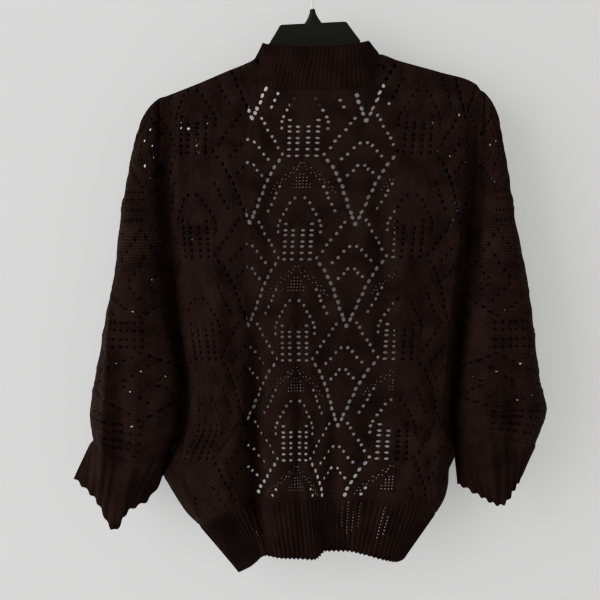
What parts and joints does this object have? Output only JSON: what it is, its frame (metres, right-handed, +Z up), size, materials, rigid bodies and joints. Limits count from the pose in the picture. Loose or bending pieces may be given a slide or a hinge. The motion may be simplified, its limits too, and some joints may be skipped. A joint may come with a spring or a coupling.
{
  "type": "lace cardigan on a hanger",
  "caption": "Open-front knitted lace cardigan with wide three-quarter sleeves and ribbed collar, cuffs and hem, hanging on a moulded hanger.",
  "frame": {"origin": "inside top of the hook, where it hangs on a rail", "axes": "+Z up, X across the shoulders, -Y is the side that the garment's back faces, which is the side the picture shows"},
  "size_m": [0.5988, 0.098, 0.778],
  "materials": {
    "lace_knit": "knitted lace in a soft yarn, matt",
    "rib_knit": "knitted rib in the same yarn, matt",
    "label": "plain woven label, blank",
    "hanger_plastic": "moulded, slightly satin",
    "hook_wire": "plated wire"
  },
  "bodies": {
    "root": {"back": "lace_knit", "front_left": "lace_knit", "front_right": "lace_knit", "sleeve_left_back": "lace_knit", "sleeve_left_front": "lace_knit", "sleeve_right_back": "lace_knit", "sleeve_right_front": "lace_knit", "band_left": "rib_knit", "band_right": "rib_knit", "hem_back": "rib_knit", "hem_front_left": "rib_knit", "hem_front_right": "rib_knit", "cuff_left": "rib_knit", "cuff_right": "rib_knit", "collar": "rib_knit", "label": "label", "hanger_body": "hanger_plastic", "hanger_hook": "hook_wire"}
  },
  "joints": []
}
